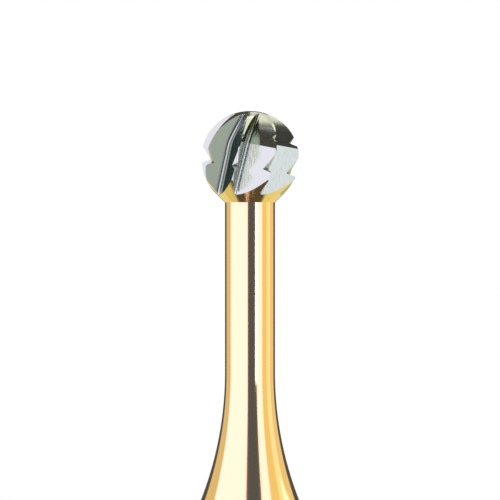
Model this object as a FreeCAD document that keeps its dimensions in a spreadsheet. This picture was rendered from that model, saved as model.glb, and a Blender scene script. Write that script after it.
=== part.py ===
import FreeCAD, Part
import math
import os
import Sketcher

# Carbide podiatry bur for a straight handpiece. A fluted ball of tungsten carbide is
# butt brazed onto a turned steel shank with a slim neck and a hollow flare.
# Lengths are in millimetres and angles in degrees. The origin is the centre of the
# shank's back end face, and +Z runs along the axis to the cutting head.

# Each driving dimension: name, value, what it sets. A share is a part of the ball's
# radius, so the ground form keeps its proportions in every head size.
DIMENSIONS = [
    ("overall_length", 44.5, "end face of the shank to the tip of the head"),
    ("shank_diameter", 2.35, "grip cylinder that the handpiece chuck holds"),
    ("end_chamfer", 0.25, "chamfer at the back end of the shank"),
    ("flare_radius", 8.0, "hollow curve from the neck out to the grip cylinder"),
    ("neck_diameter", 1.14, "slim neck behind the head"),
    ("neck_length", 3.86, "parallel stretch of the neck"),
    ("head_diameter", 2.3, "ball of the cutting head"),
    ("cone_latitude", 22.5, "angle below the ball's equator where the back cone starts"),
    ("cone_slope", 45.0, "slope of the back cone from level"),
    ("flute_count", 8, "number of flutes, and of cutting edges"),
    ("first_flute_turn", -15.7, "turn of the first cutting face about the axis"),
    ("flute_tilt", 13.0, "slope of the cutting faces against the axis"),
    ("wheel_angle", 76.0, "angle between a cutting face and the next tooth's back"),
    ("flute_nose_radius", 0.06, "rounding at the bottom of a flute"),
    ("side_pass_share", 0.548, "axis to the flute's apex, level with the ball centre"),
    ("side_pass_slope", 6.5, "taper of the flute's bottom along the side of the ball"),
    ("dome_pass_share", 0.38, "axis to the flute's apex at the middle of the dome pass"),
    ("dome_rise_share", 0.678, "ball centre up to the middle of the dome pass"),
    ("dome_curve_share", 2.435, "curve of the flute's bottom over the dome"),
    ("dome_pass_slope", 26.0, "taper of the flute's bottom at that middle"),
    ("breaker_pitch_share", 0.614, "rise of the chip breaker groove in one turn"),
    ("breaker_depth_share", 0.191, "depth of the chip breaker groove below the ball"),
    ("breaker_drop_share", 0.285, "ball centre down to the groove's bottom, on the X axis"),
    ("breaker_upper_flank", 61.0, "slope of the groove's upper flank from level"),
    ("breaker_lower_flank", 21.0, "slope of the groove's lower flank from level"),
]

# Each size that follows from the driving dimensions: name, formula.
DERIVED = [
    ("head_radius", "=head_diameter / 2"),
    ("neck_radius", "=neck_diameter / 2"),
    ("shank_radius", "=shank_diameter / 2"),
    ("ball_height", "=overall_length - head_radius"),
    ("cone_edge_radius", "=head_radius * cos(cone_latitude)"),
    ("cone_edge_height", "=ball_height - head_radius * sin(cone_latitude)"),
    ("seat_height", "=cone_edge_height - (cone_edge_radius - neck_radius) * tan(cone_slope)"),
    ("neck_foot_height", "=seat_height - neck_length"),
    ("flare_step", "=shank_radius - neck_radius"),
    ("flare_foot_height",
     "=neck_foot_height - sqrt(2 * flare_radius * flare_step - flare_step ^ 2)"),
    ("side_pass_reach", "=side_pass_share * head_radius"),
    ("dome_pass_reach", "=dome_pass_share * head_radius"),
    ("dome_pass_rise", "=dome_rise_share * head_radius"),
    ("dome_pass_radius", "=dome_curve_share * head_radius"),
    ("wheel_foot", "=flute_nose_radius / tan(wheel_angle / 2)"),
    ("wheel_foot_out", "=wheel_foot * cos(wheel_angle)"),
    ("wheel_foot_up", "=wheel_foot * sin(wheel_angle)"),
    ("wheel_side", "=1.2 * head_radius"),
    ("wheel_side_out", "=wheel_side / tan(wheel_angle)"),
    ("grind_length", "=3 * head_diameter"),
    ("breaker_pitch", "=breaker_pitch_share * head_radius"),
    ("breaker_bottom_radius", "=head_radius * (1 - breaker_depth_share)"),
    ("breaker_reach", "=1.25 * breaker_depth_share * head_radius"),
    ("breaker_start", "=ball_height - breaker_drop_share * head_radius + 2 * breaker_pitch"),
    ("breaker_upper_rise", "=breaker_reach * tan(breaker_upper_flank)"),
    ("breaker_lower_drop", "=breaker_reach * tan(breaker_lower_flank)"),
]

# Turns that carry the groove from clear above the dome down past the back cone.
BREAKER_TURNS = 2.6
# Sweep of the wheel's curved pass over the dome.
DOME_SWEEP = 40

# The sketcher's numbers for places on an edge, and for its own origin and axes.
START, END, CENTRE = range(1, 4)
ORIGIN = (-1, START)
ACROSS_AXIS, UP_AXIS = -1, -2


def make_sheet(doc):
    """Puts every dimension into a spreadsheet, one alias for each."""
    sheet = doc.addObject("Spreadsheet::Sheet", "dims")
    for row, (alias, value, note) in enumerate(DIMENSIONS, start=1):
        sheet.set(f"A{row}", alias)
        sheet.set(f"B{row}", str(value))
        sheet.set(f"C{row}", note)
        sheet.setAlias(f"B{row}", alias)
    for row, (alias, formula) in enumerate(DERIVED, start=len(DIMENSIONS) + 2):
        sheet.set(f"A{row}", alias)
        sheet.set(f"B{row}", formula)
        sheet.setAlias(f"B{row}", alias)
    doc.recompute()
    return sheet


def add_body(doc, label):
    body = doc.addObject("PartDesign::Body", label)
    body.Label = label
    return body


def origin_feature(body, role):
    """The plane or axis of the body's own origin that has this role."""
    return next(f for f in body.Origin.OriginFeatures if f.Role == role)


def add_sketch(body, name):
    """A sketch on the body's XZ plane: across is X, and up is Z."""
    sketch = body.newObject("Sketcher::SketchObject", name)
    sketch.AttachmentSupport = [(origin_feature(body, "XZ_Plane"), "")]
    sketch.MapMode = "FlatFace"
    return sketch


def outline(points):
    """Straight edges through the points and back to the first."""
    corners = [FreeCAD.Vector(across, up, 0) for across, up in points]
    return [Part.LineSegment(a, b) for a, b in zip(corners, corners[1:] + corners[:1])]


def arc_between(centre, radius, first, last):
    """An arc about the centre, counter-clockwise from one point to the other."""
    circle = Part.Circle(FreeCAD.Vector(*centre, 0), FreeCAD.Vector(0, 0, 1), radius)
    turns = [math.atan2(up - centre[1], across - centre[0]) for across, up in (first, last)]
    return Part.ArcOfCircle(circle, *turns)


def rule(sketch, kind, *places):
    return sketch.addConstraint(Sketcher.Constraint(kind, *places))


def join(sketch, first, first_end, second, second_end):
    rule(sketch, "Coincident", first, first_end, second, second_end)


def bind(sketch, kind, places, alias):
    """Adds a dimension that follows a cell of the sheet."""
    value = getattr(sketch.Document.dims, alias)
    start = math.radians(value) if kind == "Angle" else value
    index = rule(sketch, kind, *places, start)
    sketch.renameConstraint(index, alias)
    sketch.setExpression(f"Constraints.{alias}", f"dims.{alias}")


def revolve(body, sketch, name):
    feature = body.newObject("PartDesign::Revolution", name)
    feature.Profile = sketch
    feature.ReferenceAxis = (sketch, ["V_Axis"])
    feature.Angle = 360
    return feature


def make_shank(doc, dims):
    """The turned steel rod: grip cylinder, hollow flare and parallel neck."""
    body = add_body(doc, "shank")
    sketch = add_sketch(body, "shank_profile")
    neck_foot = (dims.neck_radius, dims.neck_foot_height)
    flare_foot = (dims.shank_radius, dims.flare_foot_height)
    edges = outline([
        (0, 0),
        (dims.shank_radius - dims.end_chamfer, 0),
        (dims.shank_radius, dims.end_chamfer),
        flare_foot,
        neck_foot,
        (dims.neck_radius, dims.seat_height),
        (0, dims.seat_height),
    ])
    end, chamfer, grip, flare, neck, seat, axis = range(len(edges))
    flare_centre = (dims.neck_radius + dims.flare_radius, dims.neck_foot_height)
    edges[flare] = arc_between(flare_centre, dims.flare_radius, neck_foot, flare_foot)
    sketch.addGeometry(edges)
    join(sketch, end, START, *ORIGIN)
    join(sketch, end, END, chamfer, START)
    join(sketch, chamfer, END, grip, START)
    join(sketch, grip, END, flare, END)
    rule(sketch, "Tangent", flare, START, neck, START)
    join(sketch, neck, END, seat, START)
    join(sketch, seat, END, axis, START)
    join(sketch, axis, END, end, START)
    for level in (end, seat):
        rule(sketch, "Horizontal", level)
    for upright in (grip, neck, axis):
        rule(sketch, "Vertical", upright)
    bind(sketch, "DistanceX", ORIGIN + (grip, START), "shank_radius")
    bind(sketch, "DistanceX", (chamfer, START, chamfer, END), "end_chamfer")
    rule(sketch, "Angle", chamfer, math.radians(45))
    bind(sketch, "Radius", (flare,), "flare_radius")
    bind(sketch, "DistanceX", ORIGIN + (neck, START), "neck_radius")
    bind(sketch, "DistanceY", (neck, START, neck, END), "neck_length")
    bind(sketch, "DistanceY", ORIGIN + (neck, END), "seat_height")
    revolve(body, sketch, "turned_rod")
    return body


def make_head_blank(body, dims):
    """The ball with its back cone, as it is before the flutes are ground."""
    sketch = add_sketch(body, "head_profile")
    cone_edge = (dims.cone_edge_radius, dims.cone_edge_height)
    tip = (0, dims.overall_length)
    edges = outline([
        (0, dims.seat_height),
        (dims.neck_radius, dims.seat_height),
        cone_edge,
        tip,
    ])
    seat, cone, ball, axis = range(len(edges))
    edges[ball] = arc_between((0, dims.ball_height), dims.head_radius, cone_edge, tip)
    sketch.addGeometry(edges)
    join(sketch, seat, END, cone, START)
    join(sketch, cone, END, ball, START)
    join(sketch, ball, END, axis, START)
    join(sketch, axis, END, seat, START)
    rule(sketch, "Horizontal", seat)
    rule(sketch, "PointOnObject", seat, START, UP_AXIS)
    rule(sketch, "PointOnObject", ball, CENTRE, UP_AXIS)
    rule(sketch, "PointOnObject", ball, END, UP_AXIS)
    bind(sketch, "DistanceY", ORIGIN + (seat, START), "seat_height")
    bind(sketch, "DistanceX", (seat, START, seat, END), "neck_radius")
    bind(sketch, "Angle", (cone,), "cone_slope")
    bind(sketch, "Radius", (ball,), "head_radius")
    bind(sketch, "DistanceY", ORIGIN + (ball, CENTRE), "ball_height")
    return revolve(body, sketch, "head_blank")


def cut_chip_breaker(body, dims):
    """One left-hand helical groove that notches every cutting edge at its own height."""
    sketch = add_sketch(body, "chip_breaker_profile")
    mouth_radius = dims.breaker_bottom_radius + dims.breaker_reach
    edges = outline([
        (dims.breaker_bottom_radius, dims.breaker_start),
        (mouth_radius, dims.breaker_start + dims.breaker_upper_rise),
        (mouth_radius, dims.breaker_start - dims.breaker_lower_drop),
    ])
    upper, mouth, lower = range(len(edges))
    sketch.addGeometry(edges)
    join(sketch, upper, END, mouth, START)
    join(sketch, mouth, END, lower, START)
    join(sketch, lower, END, upper, START)
    rule(sketch, "Vertical", mouth)
    bind(sketch, "DistanceX", ORIGIN + (upper, START), "breaker_bottom_radius")
    bind(sketch, "DistanceY", ORIGIN + (upper, START), "breaker_start")
    bind(sketch, "DistanceX", (upper, START, upper, END), "breaker_reach")
    bind(sketch, "DistanceY", (upper, START, upper, END), "breaker_upper_rise")
    bind(sketch, "DistanceY", (lower, START, lower, END), "breaker_lower_drop")
    groove = body.newObject("PartDesign::SubtractiveHelix", "chip_breaker")
    groove.Profile = sketch
    groove.ReferenceAxis = (sketch, ["V_Axis"])
    groove.Mode = "pitch-turns-angle"
    groove.LeftHanded = True
    groove.Reversed = True
    groove.Turns = BREAKER_TURNS
    groove.setExpression("Pitch", "dims.breaker_pitch")
    return groove


def flute_placement(reach, rise, slope):
    """Stands a sketch square across a flute: across is outward in the cutting face, and up
    is away from that face. The flute's apex is the sketch's origin."""
    return (
        "placement(vector(0; dims.ball_height; 0);"
        " rotation(vector(0; 1; 0); dims.first_flute_turn - 90))"
        " * placement(vector(0; 0; 0); rotation(vector(1; 0; 0); -dims.flute_tilt))"
        f" * placement(vector({reach}; {rise}; 0); rotation(vector(0; 0; 1); {slope}))"
        " * placement(vector(0; 0; 0); rotation(vector(1; 0; 0); -90))"
    )


def draw_wheel_section(body, name, placement, dims, rounded):
    """The grinding wheel's section: cutting face, flute bottom and the next tooth's back.
    The bottom is a rounded nose, or the flat that a dressed wheel leaves."""
    sketch = add_sketch(body, name)
    sketch.setExpression("AttachmentOffset", placement)
    face_foot = (dims.wheel_foot, 0)
    back_foot = (dims.wheel_foot_out, dims.wheel_foot_up)
    edges = outline([
        (dims.wheel_side, 0),
        face_foot,
        back_foot,
        (dims.wheel_side_out, dims.wheel_side),
    ])
    face, bottom, back, mouth = range(len(edges))
    if rounded:
        centre = (dims.wheel_foot, dims.flute_nose_radius)
        edges[bottom] = arc_between(centre, dims.flute_nose_radius, back_foot, face_foot)
    sketch.addGeometry(edges)
    rule(sketch, "PointOnObject", face, START, ACROSS_AXIS)
    rule(sketch, "PointOnObject", face, END, ACROSS_AXIS)
    join(sketch, back, END, mouth, START)
    join(sketch, mouth, END, face, START)
    bind(sketch, "DistanceX", ORIGIN + (face, END), "wheel_foot")
    bind(sketch, "DistanceX", ORIGIN + (face, START), "wheel_side")
    bind(sketch, "Angle", (back,), "wheel_angle")
    rule(sketch, "DistanceY", *ORIGIN, back, END, dims.wheel_side)
    sketch.renameConstraint(sketch.ConstraintCount - 1, "back_side")
    sketch.setExpression("Constraints.back_side", "dims.wheel_side")
    if rounded:
        rule(sketch, "Tangent", face, END, bottom, END)
        rule(sketch, "Tangent", bottom, START, back, START)
        bind(sketch, "Radius", (bottom,), "flute_nose_radius")
    else:
        join(sketch, face, END, bottom, START)
        join(sketch, bottom, END, back, START)
        bind(sketch, "DistanceX", ORIGIN + (back, START), "wheel_foot_out")
        bind(sketch, "DistanceY", ORIGIN + (back, START), "wheel_foot_up")
    return sketch


def cut_side_pass(body, dims):
    """The straight pass of the wheel along the side of the ball and out of the back cone."""
    placement = flute_placement("dims.side_pass_reach", "0", "dims.side_pass_slope")
    cut = body.newObject("PartDesign::Pocket", "side_pass")
    cut.Profile = draw_wheel_section(body, "side_pass_section", placement, dims, True)
    cut.Type = "Length"
    cut.SideType = "Symmetric"
    cut.setExpression("Length", "dims.grind_length")
    return cut


def cut_dome_pass(body, dims):
    """The curved pass of the wheel over the dome towards the tip."""
    placement = flute_placement(
        "dims.dome_pass_reach", "dims.dome_pass_rise", "dims.dome_pass_slope")
    sketch = draw_wheel_section(body, "dome_pass_section", placement, dims, False)
    swing_line = Part.LineSegment(
        FreeCAD.Vector(-dims.dome_pass_radius, 0, 0),
        FreeCAD.Vector(-dims.dome_pass_radius, dims.head_radius, 0))
    swing = sketch.addGeometry(swing_line, True)
    rule(sketch, "PointOnObject", swing, START, ACROSS_AXIS)
    rule(sketch, "Vertical", swing)
    bind(sketch, "DistanceX", (swing, START) + ORIGIN, "dome_pass_radius")
    bind(sketch, "DistanceY", (swing, START, swing, END), "head_radius")
    cut = body.newObject("PartDesign::Groove", "dome_pass")
    cut.Profile = sketch
    cut.ReferenceAxis = (sketch, ["Axis0"])
    cut.Angle = DOME_SWEEP
    cut.Midplane = True
    return cut


def make_head(doc, dims):
    """The cutting head: blank, chip breaker, then one flute repeated about the axis."""
    body = add_body(doc, "cutting_head")
    make_head_blank(body, dims)
    cut_chip_breaker(body, dims)
    passes = [cut_side_pass(body, dims), cut_dome_pass(body, dims)]
    doc.recompute()
    teeth = body.newObject("PartDesign::PolarPattern", "flutes")
    teeth.Originals = passes
    teeth.Axis = (origin_feature(body, "Z_Axis"), [""])
    teeth.Angle = 360
    teeth.setExpression("Occurrences", "dims.flute_count")
    body.Tip = teeth
    return body


def check(doc, bodies):
    """Stops the build when a feature has failed or a solid isn't whole."""
    for obj in doc.Objects:
        if "Invalid" in obj.State or "Error" in obj.State:
            raise RuntimeError(f"{obj.Label}: {obj.State}")
        if obj.isDerivedFrom("PartDesign::Feature") and obj.Shape.isNull():
            raise RuntimeError(f"{obj.Label} has no shape")
    for body in bodies:
        if not body.Shape.isValid() or len(body.Shape.Solids) != 1:
            raise RuntimeError(f"{body.Label} isn't one valid solid")


os.makedirs("parts", exist_ok=True)
document = FreeCAD.newDocument("podiatry_bur")
sizes = make_sheet(document)
built = [make_shank(document, sizes), make_head(document, sizes)]
document.recompute()
check(document, built)
for part in built:
    part.Shape.exportStep(os.path.join("parts", f"{part.Label}.step"))
    print(part.Label, round(part.Shape.Volume, 4))
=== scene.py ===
"""Looks and studio for the carbide podiatry bur, in metres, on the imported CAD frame."""
import math

import bmesh
import bpy
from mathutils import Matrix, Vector


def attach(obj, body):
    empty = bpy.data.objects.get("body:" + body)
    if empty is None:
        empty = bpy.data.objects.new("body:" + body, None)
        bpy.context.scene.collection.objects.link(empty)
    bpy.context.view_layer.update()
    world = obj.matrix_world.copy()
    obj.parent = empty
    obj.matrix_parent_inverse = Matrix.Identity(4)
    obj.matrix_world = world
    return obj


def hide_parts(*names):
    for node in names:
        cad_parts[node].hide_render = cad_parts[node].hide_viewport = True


# The camera: the height it looks at and the width it sees there, in metres.
LOOK_HEIGHT = 0.041335
FRAME_WIDTH = 0.011385
LENS_MM = 400
SENSOR_MM = 36

# The object's sizes, in millimetres and degrees, as in the part's source.
TIP = 44.5
HEAD_R = 1.15
BALL_Z = TIP - HEAD_R
CONE_LATITUDE = 22.5
SHANK_R = 1.175
NECK_R = 0.57
NECK_LENGTH = 3.86
FLARE_R = 8.0
CHAMFER = 0.25
CONE_EDGE_R = HEAD_R * math.cos(math.radians(CONE_LATITUDE))
CONE_EDGE_Z = BALL_Z - HEAD_R * math.sin(math.radians(CONE_LATITUDE))
SEAT_Z = CONE_EDGE_Z - (CONE_EDGE_R - NECK_R)
FLUTES = 8
FIRST_TURN = -15.7
TILT = 13.0
WHEEL_ANGLE = 76.0
NOSE_R = 0.06
WHEEL_WIDTH = 1.2 * HEAD_R
SIDE_REACH, SIDE_SLOPE = 0.548 * HEAD_R, 6.5
SIDE_PASS = 3 * HEAD_R
DOME_REACH, DOME_RISE, DOME_SLOPE = 0.38 * HEAD_R, 0.678 * HEAD_R, 26.0
DOME_R = 2.435 * HEAD_R
DOME_SWEEP = 40
GROOVE_PITCH, GROOVE_DEPTH, GROOVE_DROP = 0.614 * HEAD_R, 0.191 * HEAD_R, 0.285 * HEAD_R
GROOVE_UPPER, GROOVE_LOWER = 61.0, 21.0
GROOVE_TURNS = 2.6
GROOVE_CLEARANCE = 0.05
MM = 0.001

# How finely curves are cut into straight steps.
ROUND_STEPS = 288
FLARE_STEPS = 64
BALL_STEPS = 96
NOSE_STEPS = 24
GROOVE_STEPS = 144

# A bend sharper than this stays crisp.
SHARP_DEGREES = 7.5

# The carbide's colour is darkened by painted shade down in the flutes: how near the walls
# around it have to be, in millimetres, and how open it is where the painted shade starts and
# ends.
CARBIDE = (0.42, 0.475, 0.365, 1)
FLUTE_PAINTED_SHADE = (0.15, 0.17, 0.15, 1)
FLUTE_SHADE_MM = 0.16
FLUTE_SHADE_RANGE = (0.55, 0.85)

# The gold, and the paler gold on faces that point further down than this.
GOLD = (0.93, 0.53, 0.21, 1)
CONE_GOLD = (0.90, 0.66, 0.29, 1)
CONE_FACING = -0.6

# Marks per metre on each axis, and their height in millimetres.
HEAD_MARKS, HEAD_MARK_HEIGHT = (30000, 30000, 3000), 0.0012
SHANK_MARKS, SHANK_MARK_HEIGHT = (500, 500, 9000), 0.001

FLOOR_COLOUR = (0.72, 0.72, 0.70, 1)
FLOOR_WIDTH = 0.6

# The black cloth: its radius, how far round it goes, its lower edge left and right of one
# turn, and its top edge, which rises to the right. Millimetres, and degrees from the camera.
CLOTH_COLOUR = (0.08, 0.08, 0.08, 1)
FLAG_R = 15.0
FLAG_TURN = 105
FLAG_STEP = 3
FLAG_LOW_LEFT, FLAG_LOW_RIGHT, FLAG_RIGHT_TURN = 52.4, 49.2, 38
FLAG_TOP, FLAG_TILT = 64.0, 2.3


def mesh_object(name, points, faces):
    """A mesh object from points in millimetres."""
    mesh = bpy.data.meshes.new(name)
    mesh.from_pydata([tuple(c * MM for c in point) for point in points], [], faces)
    mesh.validate()
    obj = bpy.data.objects.new(name, mesh)
    bpy.context.collection.objects.link(obj)
    return obj


def lathe(name, profile):
    """Turns a profile of (radius, height) about the axis. Its two ends lie on the axis."""
    points = [(0, 0, profile[0][1]), (0, 0, profile[-1][1])]
    for radius, height in profile[1:-1]:
        for step in range(ROUND_STEPS):
            turn = 2 * math.pi * step / ROUND_STEPS
            points.append((radius * math.cos(turn), radius * math.sin(turn), height))
    rings = len(profile) - 2
    faces = []
    for step in range(ROUND_STEPS):
        after = (step + 1) % ROUND_STEPS
        faces.append((0, 2 + after, 2 + step))
        last = 2 + (rings - 1) * ROUND_STEPS
        faces.append((1, last + step, last + after))
        for ring in range(rings - 1):
            low = 2 + ring * ROUND_STEPS
            high = low + ROUND_STEPS
            faces.append((low + step, low + after, high + after, high + step))
    return mesh_object(name, points, faces)


def sweep(name, sections):
    """Joins closed sections, all with the same number of points, into one capped solid."""
    size = len(sections[0])
    points = [tuple(point) for section in sections for point in section]
    faces = [tuple(range(size)), tuple(reversed(range(len(points) - size, len(points))))]
    for index in range(len(sections) - 1):
        low = index * size
        for side in range(size):
            after = (side + 1) % size
            faces.append((low + side, low + size + side, low + size + after, low + after))
    obj = mesh_object(name, points, faces)
    shape = bmesh.new()
    shape.from_mesh(obj.data)
    bmesh.ops.recalc_face_normals(shape, faces=shape.faces)
    shape.to_mesh(obj.data)
    shape.free()
    return obj


def finish_shading(obj):
    """Smooth shading that keeps every real edge and crease crisp."""
    obj.data.shade_smooth()
    obj.data.set_sharp_from_angle(angle=math.radians(SHARP_DEGREES))


def make_shank():
    """The turned rod, with a finer surface than the frame's own mesh."""
    neck_z = SEAT_Z - NECK_LENGTH
    step = SHANK_R - NECK_R
    grip_z = neck_z - math.sqrt(2 * FLARE_R * step - step ** 2)
    profile = [(0, 0), (SHANK_R - CHAMFER, 0), (SHANK_R, CHAMFER), (SHANK_R, grip_z)]
    for index in range(1, FLARE_STEPS):
        height = grip_z + (neck_z - grip_z) * index / FLARE_STEPS
        drop = neck_z - height
        profile.append((NECK_R + FLARE_R - math.sqrt(FLARE_R ** 2 - drop ** 2), height))
    profile += [(NECK_R, neck_z), (NECK_R, SEAT_Z), (0, SEAT_Z)]
    return lathe("turned_shank", profile)


def make_blank():
    """The head before grinding: back cone and ball."""
    start = -math.radians(CONE_LATITUDE)
    profile = [(0, SEAT_Z), (NECK_R, SEAT_Z)]
    for index in range(BALL_STEPS):
        angle = start + (math.pi / 2 - start) * index / BALL_STEPS
        profile.append((HEAD_R * math.cos(angle), BALL_Z + HEAD_R * math.sin(angle)))
    profile.append((0, TIP))
    return lathe("ground_head", profile)


def flute_axes(turn):
    """Outward, along and away-from-face directions of the cutting face at this turn."""
    turn, tilt = math.radians(turn), math.radians(TILT)
    outward = Vector((math.sin(turn), -math.cos(turn), 0))
    round_ = Vector((math.cos(turn), math.sin(turn), 0))
    along = math.cos(tilt) * Vector((0, 0, 1)) + math.sin(tilt) * round_
    return outward, along, along.cross(outward)


def wheel_section(apex, outward, away):
    """The grinding wheel's section at an apex: face side, rounded nose and back side."""
    half = math.radians(WHEEL_ANGLE / 2)
    foot = NOSE_R / math.tan(half)
    points = [(WHEEL_WIDTH, 0)]
    for index in range(NOSE_STEPS + 1):
        angle = math.radians(-90) - math.radians(180 - WHEEL_ANGLE) * index / NOSE_STEPS
        points.append((foot + NOSE_R * math.cos(angle), NOSE_R + NOSE_R * math.sin(angle)))
    points.append((WHEEL_WIDTH / math.tan(math.radians(WHEEL_ANGLE)), WHEEL_WIDTH))
    return [apex + outward * across + away * up for across, up in points]


def side_cutter(turn):
    """The straight pass of the wheel along the side of the ball."""
    outward, along, away = flute_axes(turn)
    slope = math.radians(SIDE_SLOPE)
    across = math.cos(slope) * outward + math.sin(slope) * along
    path = -math.sin(slope) * outward + math.cos(slope) * along
    apex = Vector((0, 0, BALL_Z)) + SIDE_REACH * outward
    ends = [apex + path * reach for reach in (-SIDE_PASS, SIDE_PASS)]
    return sweep("side_cutter", [wheel_section(end, across, away) for end in ends])


def dome_cutter(turn):
    """The curved pass of the wheel over the dome, in sections one degree apart."""
    outward, along, away = flute_axes(turn)
    middle = Vector((0, 0, BALL_Z)) + DOME_REACH * outward + DOME_RISE * along
    slope = math.radians(DOME_SLOPE)
    centre = middle - DOME_R * (math.cos(slope) * outward + math.sin(slope) * along)
    sections = []
    for index in range(DOME_SWEEP + 1):
        angle = math.radians(DOME_SLOPE - DOME_SWEEP / 2 + index)
        across = math.cos(angle) * outward + math.sin(angle) * along
        sections.append(wheel_section(centre + DOME_R * across, across, away))
    return sweep("dome_cutter", sections)


def groove_cutter():
    """The left-hand helical chip breaker."""
    reach = GROOVE_DEPTH + GROOVE_CLEARANCE
    floor = HEAD_R - GROOVE_DEPTH
    up = reach * math.tan(math.radians(GROOVE_UPPER))
    down = reach * math.tan(math.radians(GROOVE_LOWER))
    sections = []
    for index in range(int(GROOVE_TURNS * GROOVE_STEPS) + 1):
        turn = 2 * math.pi * index / GROOVE_STEPS
        height = BALL_Z - GROOVE_DROP + GROOVE_PITCH * (2 - index / GROOVE_STEPS)
        across = Vector((math.cos(turn), math.sin(turn), 0))
        sections.append([
            across * floor + Vector((0, 0, height)),
            across * (floor + reach) + Vector((0, 0, height + up)),
            across * (floor + reach) + Vector((0, 0, height - down)),
        ])
    return sweep("groove_cutter", sections)


def cut_away(obj, cutter):
    """Cuts the cutter's shape out of obj for good."""
    change = obj.modifiers.new("cut", "BOOLEAN")
    change.operation = "DIFFERENCE"
    change.solver = "MANIFOLD"
    change.object = cutter
    bpy.context.view_layer.update()
    shape = obj.evaluated_get(bpy.context.evaluated_depsgraph_get())
    mesh = bpy.data.meshes.new_from_object(shape)
    obj.modifiers.clear()
    obj.data = mesh
    bpy.data.objects.remove(cutter)


def make_head():
    """The fluted head, ground from its blank as in the part's source."""
    head = make_blank()
    cut_away(head, groove_cutter())
    for index in range(FLUTES):
        turn = FIRST_TURN + 360 * index / FLUTES
        cut_away(head, side_cutter(turn))
        cut_away(head, dome_cutter(turn))
    return head


def paint(obj, material):
    """Gives an object this material alone."""
    obj.data.materials.clear()
    obj.data.materials.append(material)


def dress(obj, node, material):
    """Lets a finer surface stand for a CAD node."""
    finish_shading(obj)
    paint(obj, material)
    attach(obj, "root")
    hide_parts(node)


def add_node(tree, kind, **values):
    """Adds a shader node and sets its properties."""
    node = tree.nodes.new(kind)
    for name, value in values.items():
        setattr(node, name, value)
    return node


def math_node(tree, operation, first, second=None):
    """A Math node on sockets or numbers. Returns its output."""
    node = add_node(tree, "ShaderNodeMath", operation=operation)
    for socket, value in zip(node.inputs, (first, second)):
        if value is None:
            continue
        if isinstance(value, (int, float)):
            socket.default_value = value
        else:
            tree.links.new(value, socket)
    return node.outputs[0]


def mix_colours(tree, factor, first, second):
    """Blends two colours, each a value or a socket. Returns the blend's output."""
    node = add_node(tree, "ShaderNodeMix", data_type="RGBA")
    tree.links.new(factor, node.inputs["Factor"])
    colours = [socket for socket in node.inputs if socket.type == "RGBA"]
    for socket, value in zip(colours, (first, second)):
        if isinstance(value, tuple):
            socket.default_value = value
        else:
            tree.links.new(value, socket)
    return [socket for socket in node.outputs if socket.type == "RGBA"][0]


def ramp_up(tree, value, low, high):
    """0 below low, 1 above high, smooth between them."""
    node = add_node(tree, "ShaderNodeMapRange", interpolation_type="SMOOTHSTEP")
    tree.links.new(value, node.inputs["Value"])
    node.inputs["From Min"].default_value = low
    node.inputs["From Max"].default_value = high
    return node.outputs["Result"]


def window(tree, value, low, high, soft):
    """1 between low and high, fading to 0 over soft beyond each."""
    rise = ramp_up(tree, value, low - soft, low)
    fall = ramp_up(tree, value, high, high + soft)
    return math_node(tree, "MULTIPLY", rise, math_node(tree, "SUBTRACT", 1.0, fall))


# Each soft box: azimuth range from the camera and towards the right, elevation range,
# softness of its edges (all in degrees), and strength in red, green and blue.
SOFT_BOXES = [
    ((-135, -104), (-60, 50), 6, (0.68, 0.68, 0.36)),
    ((-98, -13), (-56, 48), 5, (1.76, 1.56, 2.25)),
    ((-8, 28), (-60, 60), 2, (0.00, 0.05, 0.12)),
    ((25.5, 31), (-5, 0.5), 1.5, (5.4, 4.3, 7.0)),
    ((33, 57), (-50, 48), 3, (1.60, 1.54, 2.05)),
    ((61, 82), (-12, 48), 4, (0.87, 0.86, 0.38)),
    ((86, 104), (-12, 48), 4, (1.25, 1.17, 0.85)),
    ((60, 104), (-50, -15), 3, (1.10, 1.02, 0.95)),
    ((108, 134), (-60, 50), 5, (0.80, 0.80, 0.42)),
    ((100, 180), (24, 58), 5, (1.10, 1.02, 1.05)),
    ((138, 180), (-72, -14), 3, (0.84, 0.80, 0.50)),
    ((-180, -139), (-72, -14), 3, (0.84, 0.80, 0.50)),
    ((-180, 180), (56, 100), 3, (1.66, 1.50, 1.48)),
]
ROOM_GLOW = (0.10, 0.09, 0.08)


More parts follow.
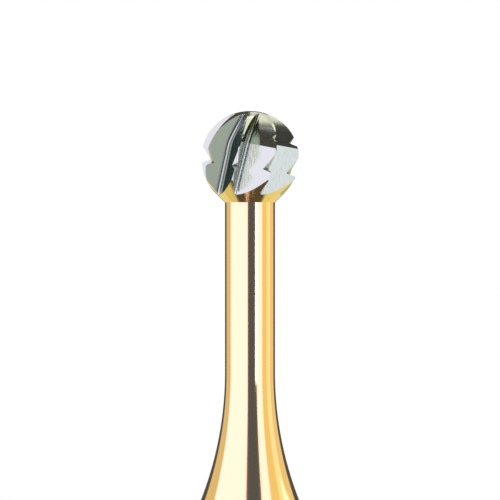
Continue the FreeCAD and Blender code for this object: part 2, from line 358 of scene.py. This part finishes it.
def make_world():
    """Soft boxes round the object for light and reflections, and plain white behind it."""
    world = bpy.data.worlds.new("studio")
    bpy.context.scene.world = world
    world.use_nodes = True
    tree = world.node_tree
    tree.nodes.clear()
    direction = add_node(tree, "ShaderNodeTexCoord").outputs["Generated"]
    axes = add_node(tree, "ShaderNodeSeparateXYZ")
    tree.links.new(direction, axes.inputs[0])
    x, y, z = axes.outputs
    turn = math_node(tree, "ARCTAN2", x, math_node(tree, "MULTIPLY", y, -1.0))
    turn = math_node(tree, "DEGREES", turn)
    rise = math_node(tree, "DEGREES", math_node(tree, "ARCSINE", z))
    total = None
    glows = [((-180, 180), (-100, 100), 1, ROOM_GLOW)]
    for (left, right), (low, high), soft, tint in glows + SOFT_BOXES:
        mask = math_node(tree, "MULTIPLY", window(tree, turn, left, right, soft),
                         window(tree, rise, low, high, soft))
        layer = add_node(tree, "ShaderNodeVectorMath", operation="SCALE")
        layer.inputs[0].default_value = tint
        tree.links.new(mask, layer.inputs["Scale"])
        if total is None:
            total = layer.outputs[0]
            continue
        blend = add_node(tree, "ShaderNodeVectorMath", operation="ADD")
        tree.links.new(total, blend.inputs[0])
        tree.links.new(layer.outputs[0], blend.inputs[1])
        total = blend.outputs[0]
    lights = add_node(tree, "ShaderNodeBackground")
    tree.links.new(total, lights.inputs["Color"])
    plain = add_node(tree, "ShaderNodeBackground")
    plain.inputs["Color"].default_value = (1, 1, 1, 1)
    path = add_node(tree, "ShaderNodeLightPath")
    mix = add_node(tree, "ShaderNodeMixShader")
    tree.links.new(path.outputs["Is Camera Ray"], mix.inputs[0])
    tree.links.new(lights.outputs[0], mix.inputs[1])
    tree.links.new(plain.outputs[0], mix.inputs[2])
    out = add_node(tree, "ShaderNodeOutputWorld")
    tree.links.new(mix.outputs[0], out.inputs["Surface"])


def new_material(name):
    """A material with its node tree and its main shader."""
    material = bpy.data.materials.new(name)
    material.use_nodes = True
    tree = material.node_tree
    return material, tree, tree.nodes["Principled BSDF"]


def fine_marks(tree, shader, scale, height):
    """Faint marks of the last machining pass, finer across it than along it."""
    place = add_node(tree, "ShaderNodeTexCoord").outputs["Object"]
    stretch = add_node(tree, "ShaderNodeMapping")
    tree.links.new(place, stretch.inputs["Vector"])
    stretch.inputs["Scale"].default_value = scale
    noise = add_node(tree, "ShaderNodeTexNoise")
    tree.links.new(stretch.outputs[0], noise.inputs["Vector"])
    noise.inputs["Scale"].default_value = 1.0
    noise.inputs["Detail"].default_value = 3.0
    bump = add_node(tree, "ShaderNodeBump")
    tree.links.new(noise.outputs[0], bump.inputs["Height"])
    bump.inputs["Strength"].default_value = 1.0
    bump.inputs["Distance"].default_value = height * MM
    tree.links.new(bump.outputs["Normal"], shader.inputs["Normal"])


def carbide_material():
    """Bright ground carbide, with painted shade darkening its colour down in the flutes, and
    the coating left on the back cone between them."""
    material, tree, shader = new_material("ground_carbide")
    shader.inputs["Metallic"].default_value = 1.0
    shader.inputs["Roughness"].default_value = 0.12
    fine_marks(tree, shader, HEAD_MARKS, HEAD_MARK_HEIGHT)
    # Painted shade: ambient occlusion darkens the carbide's colour where walls close in,
    # down in the flutes.
    shade = add_node(tree, "ShaderNodeAmbientOcclusion", samples=8, only_local=True)
    shade.inputs["Distance"].default_value = FLUTE_SHADE_MM * MM
    clear = ramp_up(tree, shade.outputs["AO"], *FLUTE_SHADE_RANGE)
    ground = mix_colours(tree, clear, FLUTE_PAINTED_SHADE, CARBIDE)
    facing = add_node(tree, "ShaderNodeNewGeometry")
    axes = add_node(tree, "ShaderNodeSeparateXYZ")
    tree.links.new(facing.outputs["True Normal"], axes.inputs[0])
    coated = math_node(tree, "LESS_THAN", axes.outputs["Z"], CONE_FACING)
    tone = mix_colours(tree, coated, ground, CONE_GOLD)
    tree.links.new(tone, shader.inputs["Base Color"])
    return material


def gold_material():
    """Polished gold coating on the turned shank."""
    material, tree, shader = new_material("gold_coating")
    shader.inputs["Base Color"].default_value = GOLD
    shader.inputs["Metallic"].default_value = 1.0
    shader.inputs["Roughness"].default_value = 0.1
    shader.inputs["Coat Weight"].default_value = 1.0
    shader.inputs["Coat IOR"].default_value = 2.1
    shader.inputs["Coat Roughness"].default_value = 0.1
    fine_marks(tree, shader, SHANK_MARKS, SHANK_MARK_HEIGHT)
    return material


def make_flag():
    """A black cloth round the front, seen only in reflections, that shades the dome."""
    points = []
    for turn in range(-FLAG_TURN, FLAG_TURN + 1, FLAG_STEP):
        side = math.sin(math.radians(turn))
        low = FLAG_LOW_LEFT if turn < FLAG_RIGHT_TURN else FLAG_LOW_RIGHT
        for height in (low, FLAG_TOP + FLAG_TILT * side):
            points.append((FLAG_R * side, -FLAG_R * math.cos(math.radians(turn)), height))
    faces = [(i, i + 2, i + 3, i + 1) for i in range(0, len(points) - 2, 2)]
    flag = mesh_object("dome_flag", points, faces)
    material, _, shader = new_material("black_cloth")
    shader.inputs["Base Color"].default_value = CLOTH_COLOUR
    shader.inputs["Roughness"].default_value = 1.0
    paint(flag, material)
    flag.visible_camera = False
    flag.visible_diffuse = False
    flag.visible_shadow = False


def make_floor():
    """A plain pale floor. Reflections pass through it to the soft boxes below."""
    bpy.ops.mesh.primitive_plane_add(size=FLOOR_WIDTH)
    floor = bpy.context.object
    floor.name = "floor"
    material, _, shader = new_material("pale_floor")
    shader.inputs["Base Color"].default_value = FLOOR_COLOUR
    shader.inputs["Roughness"].default_value = 0.9
    paint(floor, material)
    floor.visible_glossy = False


def make_camera():
    """Level with the head, straight on, with a long lens as in the photograph."""
    data = bpy.data.cameras.new("camera")
    data.lens = LENS_MM
    data.sensor_width = SENSOR_MM
    data.clip_start = 0.001
    data.clip_end = 10
    camera = bpy.data.objects.new("camera", data)
    bpy.context.collection.objects.link(camera)
    camera.location = (0, -FRAME_WIDTH * LENS_MM / SENSOR_MM, LOOK_HEIGHT)
    camera.rotation_euler = (math.radians(90), 0, 0)
    bpy.context.scene.camera = camera


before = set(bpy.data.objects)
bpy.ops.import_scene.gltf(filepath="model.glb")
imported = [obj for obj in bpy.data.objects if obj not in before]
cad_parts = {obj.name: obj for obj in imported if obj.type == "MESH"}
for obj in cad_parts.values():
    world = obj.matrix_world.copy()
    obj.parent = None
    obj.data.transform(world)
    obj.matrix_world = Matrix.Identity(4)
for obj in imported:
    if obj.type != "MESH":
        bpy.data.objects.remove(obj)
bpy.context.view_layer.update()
dress(make_shank(), "shank", gold_material())
dress(make_head(), "cutting_head", carbide_material())
make_floor()
make_flag()
make_world()
make_camera()
bpy.context.scene.view_settings.view_transform = "Standard"
